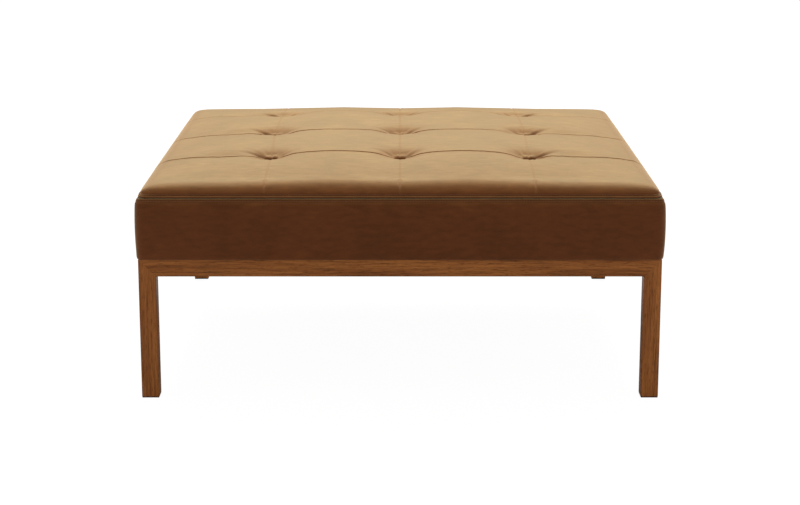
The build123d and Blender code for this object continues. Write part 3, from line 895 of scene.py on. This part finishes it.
def oiledWalnut(name, along, seed):
    # Planed and oiled walnut: satin, with dark pores drawn out along the grain, slow changes
    # of tone from red to brown, and faint growth rings.
    material, tree, shader = newMaterial(name)
    w = walnut
    draw = random.Random(seed)
    board = boardPlaces(tree, along, tuple(draw.uniform(-1, 1) for axis in range(3)))
    tone = drawnOut(tree, board, w["tone"])
    streaks = drawnOut(tree, board, w["streak"], detail=3.0, roughness=0.6)
    pores = drawnOut(tree, board, w["pore"], roughness=0.6)
    wander = addNode(tree, "ShaderNodeTexNoise", {},
                     {"Vector": board, "Scale": 1 / (w["ringWanderSize"] * mm), "Detail": 2.0}).outputs[1]
    bend = addNode(tree, "ShaderNodeVectorMath", {"operation": "SCALE"},
                   {0: wander, "Scale": w["ringWander"] * mm}).outputs[0]
    bent = addNode(tree, "ShaderNodeVectorMath", {"operation": "ADD"}, [board, bend]).outputs[0]
    rings = addNode(tree, "ShaderNodeTexWave",
                    {"wave_type": "RINGS", "rings_direction": "X", "wave_profile": "SAW"},
                    {"Vector": bent, "Scale": ringScale(w["ringSpacing"]), "Distortion": 2.0, "Detail": 2.0,
                     "Detail Scale": 1.5}).outputs["Fac"]
    redness = addNode(tree, "ShaderNodeMapRange", {}, [tone, *noiseSpan, 0, 1]).outputs[0]
    base = addNode(tree, "ShaderNodeMix", {"data_type": "RGBA"},
                   {0: redness, 6: hexToLinear(w["middle"]), 7: hexToLinear(w["light"])}).outputs[2]
    base = drawOver(tree, base, w["dark"], ((rings, w["ringShade"]), (streaks, w["streakShade"]),
                                            (pores, w["poreShade"])))
    relief = addNode(tree, "ShaderNodeMath", {"operation": "ADD"}, [streaks, pores]).outputs[0]
    bump = addNode(tree, "ShaderNodeBump", {"invert": True},
                   {"Strength": w["reliefStrength"], "Distance": w["relief"] * mm, "Height": relief})
    gloss = addNode(tree, "ShaderNodeMapRange", {}, [pores, *w["poreSpan"], *w["roughness"]])
    setInputs(tree, shader, {"Base Color": base, "Normal": bump.outputs[0], "Roughness": gloss.outputs[0],
                             "Specular IOR Level": w["specular"]})
    return material


bareWood = {
    # light, dark, growth rings, roughness
    "planed spruce": ("#d8bb8b", "#b98a55", 6.0, 0.65),
    "sanded birch plywood": ("#d9bd93", "#c49c6a", 14.0, 0.6),
    "fluted beech": ("#d0ab7e", "#b98e60", 3.0, 0.6),
    "fibre": (1.4286, 40.0),  # width and length
    "ringShade": (0.3, 1.0, 0.7),         # as for walnut
    "fibreShade": (0.5, 0.8, 0.4),
    "relief": 0.3,
    "shift": (0.3, 0.7, 0.2),
}


def planedWood(wood, along):
    # Planed timber left bare: pale, matt, with plain growth rings.
    light, dark, ringSpacing, roughness = bareWood[wood]
    material, tree, shader = newMaterial(f"{wood}, along {along}")
    board = boardPlaces(tree, along, bareWood["shift"])
    rings = addNode(tree, "ShaderNodeTexWave", {"wave_type": "RINGS", "rings_direction": "X"},
                    {"Vector": board, "Scale": ringScale(ringSpacing), "Distortion": 3.0,
                     "Detail": 2.0}).outputs["Fac"]
    fibres = drawnOut(tree, board, bareWood["fibre"])
    base = drawOver(tree, hexToLinear(light), dark,
                    ((rings, bareWood["ringShade"]), (fibres, bareWood["fibreShade"])))
    bump = addNode(tree, "ShaderNodeBump", {},
                   {"Strength": 0.2, "Distance": bareWood["relief"] * mm, "Height": fibres})
    setInputs(tree, shader, {"Base Color": base, "Normal": bump.outputs[0], "Roughness": roughness})
    return material


zinc = {"tones": ("#c9ccd0", "#a7abb0"), "blotch": 3.846, "roughness": (0.28, 0.44)}


def zincPlatedSteel():
    # Drawn or pressed steel with bright zinc plating: grey metal, softly blotched.
    material, tree, shader = newMaterial("zinc plated steel")
    base, blotches = twoTone(tree, "ShaderNodeTexNoise", zinc["blotch"], zinc["tones"])
    gloss = addNode(tree, "ShaderNodeMapRange", {}, [blotches, *noiseSpan, *zinc["roughness"]])
    setInputs(tree, shader, {"Base Color": base, "Roughness": gloss.outputs[0], "Metallic": 1.0})
    return material


glideNylon = {"tones": ("#1d1310", "#2a1c17"), "grain": 0.6667, "relief": 0.2, "roughness": 0.5}


def mouldedNylon():
    # Moulded nylon glide: near black brown, with a fine spark-eroded grain.
    material, tree, shader = newMaterial("moulded nylon, dark brown")
    g = glideNylon
    base, grain = twoTone(tree, "ShaderNodeTexNoise", g["grain"], g["tones"])
    bump = addNode(tree, "ShaderNodeBump", {},
                   {"Strength": 0.15, "Distance": g["relief"] * mm, "Height": grain})
    setInputs(tree, shader, {"Base Color": base, "Normal": bump.outputs[0], "Roughness": g["roughness"]})
    return material


spunbond = {"tones": ("#141414", "#2c2c2d"), "dot": 1.6, "fibre": 2.5, "relief": 0.3, "roughness": 0.85}


def spunbondCloth():
    # Spunbonded polypropylene: thin black felt, with its small bonding dots.
    material, tree, shader = newMaterial("spunbonded polypropylene, black")
    s = spunbond
    base = twoTone(tree, "ShaderNodeTexNoise", s["fibre"], s["tones"], {"Detail": 3.0})[0]
    place = addNode(tree, "ShaderNodeTexCoord").outputs["Object"]
    dots = addNode(tree, "ShaderNodeTexVoronoi", {},
                   {"Vector": place, "Scale": 1 / (s["dot"] * mm), "Randomness": 0.2}).outputs["Distance"]
    bump = addNode(tree, "ShaderNodeBump", {},
                   {"Strength": 0.4, "Distance": s["relief"] * mm, "Height": dots})
    setInputs(tree, shader, {"Base Color": base, "Normal": bump.outputs[0], "Roughness": s["roughness"]})
    return material


sewingThread = {"tones": ("#7d4f2d", "#976640"), "ply": 0.8333, "sheen": 0.2, "roughness": 0.55}


def twistedThread():
    # Twisted polyester sewing thread, dyed to the velvet: a slight silky gloss.
    material, tree, shader = newMaterial("twisted polyester thread, brown")
    s = sewingThread
    base = twoTone(tree, "ShaderNodeTexNoise", s["ply"], s["tones"], {"Detail": 1.0})[0]
    setInputs(tree, shader, {"Base Color": base, "Roughness": s["roughness"], "Sheen Weight": s["sheen"]})
    return material


nylonTwine = {"tones": ("#e2dac4", "#c8bd9f"), "fibre": 1.0, "roughness": 0.95}


def waxedTwine():
    # Waxed nylon twine: pale and matt, with darker wax between its fibres.
    material, tree, shader = newMaterial("waxed nylon twine")
    base = twoTone(tree, "ShaderNodeTexVoronoi", nylonTwine["fibre"], nylonTwine["tones"])[0]
    setInputs(tree, shader, {"Base Color": base, "Roughness": nylonTwine["roughness"]})
    return material


def dress(piece, material):
    piece.data.materials.clear()
    piece.data.materials.append(material)


steel, nylon = zincPlatedSteel(), mouldedNylon()
softwoodAlong = {way: planedWood("planed spruce", way) for way in "xy"}

for number, corner in enumerate(("front_left", "front_right", "back_right", "back_left")):
    walnutLeg = oiledWalnut(f"oiled walnut, {corner} leg", "z", walnut["legSeed"] + number)
    dress(nodes[f"leg_{corner}"], walnutLeg)
    dress(nodes[f"glide_{corner}"], nylon)
    dress(nodes[f"corner_block_{corner}"], softwoodAlong["x"])
    dress(nodes[f"seat_block_{corner}"], softwoodAlong["x"])
for number, (side, way) in enumerate((("front", "x"), ("right", "y"), ("back", "x"), ("left", "y"))):
    walnutRail = oiledWalnut(f"oiled walnut, {side} rail", way, walnut["railSeed"] + number)
    dress(nodes[f"rail_{side}"], walnutRail)
    dress(nodes[f"seat_rail_{side}"], softwoodAlong[way])
for side in ("left", "right"):
    dress(nodes[f"cross_rail_{side}"], softwoodAlong["y"])
for name in ("corner_block_screws", "seat_frame_screws", "deck_screws", "threaded_inserts", "seat_bolts",
             "seat_bolt_washers", "tuft_washers"):
    dress(nodes[name], steel)
dress(nodes["mitre_dowels"], planedWood("fluted beech", "z"))
dress(nodes["deck"], planedWood("sanded birch plywood", "x"))
dress(twineStrands, waxedTwine())
dress(dustSheet, spunbondCloth())
dress(staples, steel)
velvetCloth, thread = cottonVelvet(), twistedThread()
dress(topCover, velvetCloth)
dress(boxingCover, velvetCloth)
for row in stitchRows:
    dress(row, thread)
print("materials made")


# What stands for what

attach(topCover, "root")
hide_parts("top_cover", "foam_core")
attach(boxingCover, "root")
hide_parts("boxing_cover", "side_wadding")
for row in stitchRows:
    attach(row, "root")
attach(twineStrands, "root")
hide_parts("tufting_twines")
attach(dustSheet, "root")
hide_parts("dust_cover")
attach(staples, "root")


# Floor, light and camera

studio = {
    "floorHalf": 30.0,        # m
    "floorPaint": 0.8,        # the floor as it lights the table
    "floorWhite": 0.97,       # and as it is seen: white, with a faint shadow
    "floorShadow": 0.09,
    "worldStrength": 0.44,    # the room as it lights the table, and as it is seen
    "worldWhite": 1.0,
    "keyPower": 354.0,        # a large softbox high behind the table
    "keySize": 3.2,
    "keyPlace": (0.0, 4.0, 4.2),
}


# 1 for rays that come straight from the camera, also through clear pieces
def seenDirectly(tree):
    rays = addNode(tree, "ShaderNodeLightPath").outputs
    return addNode(tree, "ShaderNodeMath", {"operation": "MAXIMUM"},
                   [rays["Is Camera Ray"], rays["Is Transmission Ray"]]).outputs[0]


def grey(value):
    return (value, value, value, 1)


def makeFloor():
    half = studio["floorHalf"]
    corners = [(-half, -half, 0), (half, -half, 0), (half, half, 0), (-half, half, 0)]
    floor = newPiece("studio_floor", corners, [(0, 1, 2, 3)], smooth=False)
    material, tree, shader = newMaterial("painted studio floor, white")
    tree.nodes.remove(shader)
    paint = addNode(tree, "ShaderNodeBsdfDiffuse", {}, {"Color": grey(studio["floorPaint"])})
    white = addNode(tree, "ShaderNodeEmission", {}, {"Color": grey(1), "Strength": studio["floorWhite"]})
    shadow = addNode(tree, "ShaderNodeBsdfDiffuse", {}, {"Color": grey(studio["floorShadow"])})
    seen = addNode(tree, "ShaderNodeAddShader", {}, [white.outputs[0], shadow.outputs[0]])
    surface = addNode(tree, "ShaderNodeMixShader", {},
                      [seenDirectly(tree), paint.outputs[0], seen.outputs[0]])
    setInputs(tree, tree.nodes["Material Output"], {"Surface": surface.outputs[0]})
    dress(floor, material)


def makeWorld():
    world = bpy.data.worlds.new("white studio")
    bpy.context.scene.world = world
    world.use_nodes = True
    tree = world.node_tree
    tree.nodes.clear()
    dim, white = [addNode(tree, "ShaderNodeBackground", {}, {"Color": grey(1), "Strength": strength})
                  for strength in (studio["worldStrength"], studio["worldWhite"])]
    mix = addNode(tree, "ShaderNodeMixShader", {}, [seenDirectly(tree), dim.outputs[0], white.outputs[0]])
    addNode(tree, "ShaderNodeOutputWorld", {}, {"Surface": mix.outputs[0]})


def addKeyLight():
    light = bpy.data.lights.new("key softbox", "AREA")
    light.shape = "SQUARE"
    light.size = studio["keySize"]
    light.energy = studio["keyPower"]
    lamp = bpy.data.objects.new("key softbox", light)
    bpy.context.scene.collection.objects.link(lamp)
    lamp.location = studio["keyPlace"]
    towards = Vector((0, 0, seamHeight * mm)) - Vector(studio["keyPlace"])
    lamp.rotation_euler = towards.to_track_quat("-Z", "Y").to_euler()


camera = {
    "lens": 85.15,            # mm
    "sensor": 36.0,
    "place": (0.0, -4.0768, 1.1153),      # m
    "tilt": 77.032,           # degrees from straight down
}


def makeCamera():
    data = bpy.data.cameras.new("camera")
    data.lens = camera["lens"]
    data.sensor_width = camera["sensor"]
    eye = bpy.data.objects.new("camera", data)
    bpy.context.scene.collection.objects.link(eye)
    eye.location = camera["place"]
    eye.rotation_euler = (math.radians(camera["tilt"]), 0, 0)
    bpy.context.scene.camera = eye


makeFloor()
makeWorld()
addKeyLight()
makeCamera()
bpy.context.scene.view_settings.view_transform = "Standard"
print("studio made")
